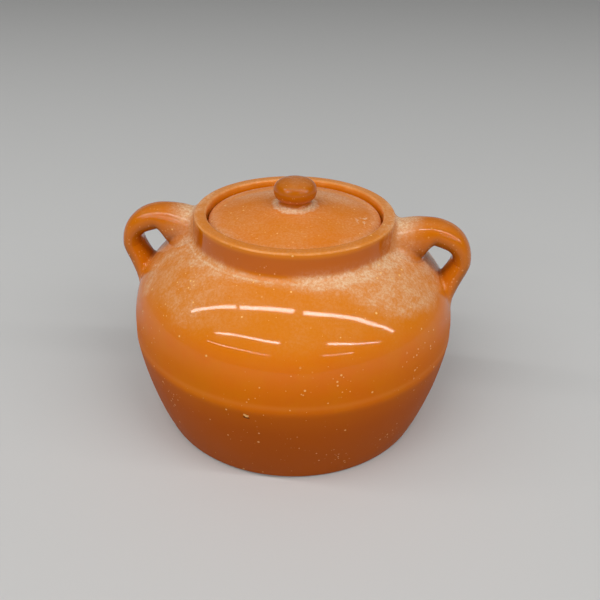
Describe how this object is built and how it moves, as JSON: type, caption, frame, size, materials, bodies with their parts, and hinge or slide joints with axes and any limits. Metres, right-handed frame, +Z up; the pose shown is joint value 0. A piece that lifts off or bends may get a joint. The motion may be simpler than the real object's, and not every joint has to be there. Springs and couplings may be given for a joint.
{
  "type": "stoneware bean pot",
  "caption": "Round-bellied glazed stoneware pot with a loop handle at each side and a loose domed lid that drops into a ledge inside its mouth.",
  "frame": {"origin": "centre of the foot, in the plane that the pot stands on", "axes": "+Z up through the knob, +X towards the right handle, -Y towards the side the picture shows"},
  "size_m": [0.253, 0.236, 0.1824],
  "materials": {
    "pot_glaze": "glossy orange-brown glaze over stoneware, dusty round the collar, bare clay under the foot",
    "handle_glaze": "glossy orange-brown glaze, dusty where it lies level",
    "lid_glaze": "orange-brown glaze, dulled by dust",
    "knob_glaze": "glossy orange-brown glaze"
  },
  "bodies": {
    "pot": {"pot_body": "pot_glaze", "left_handle": "handle_glaze", "right_handle": "handle_glaze"},
    "lid": {"lid_disc": "lid_glaze", "lid_knob": "knob_glaze"}
  },
  "joints": [
    {"name": "lid_lift", "type": "slide", "parent": "pot", "child": "lid", "axis": [0, 0, 1], "range_m": [0, 0.09]}
  ]
}
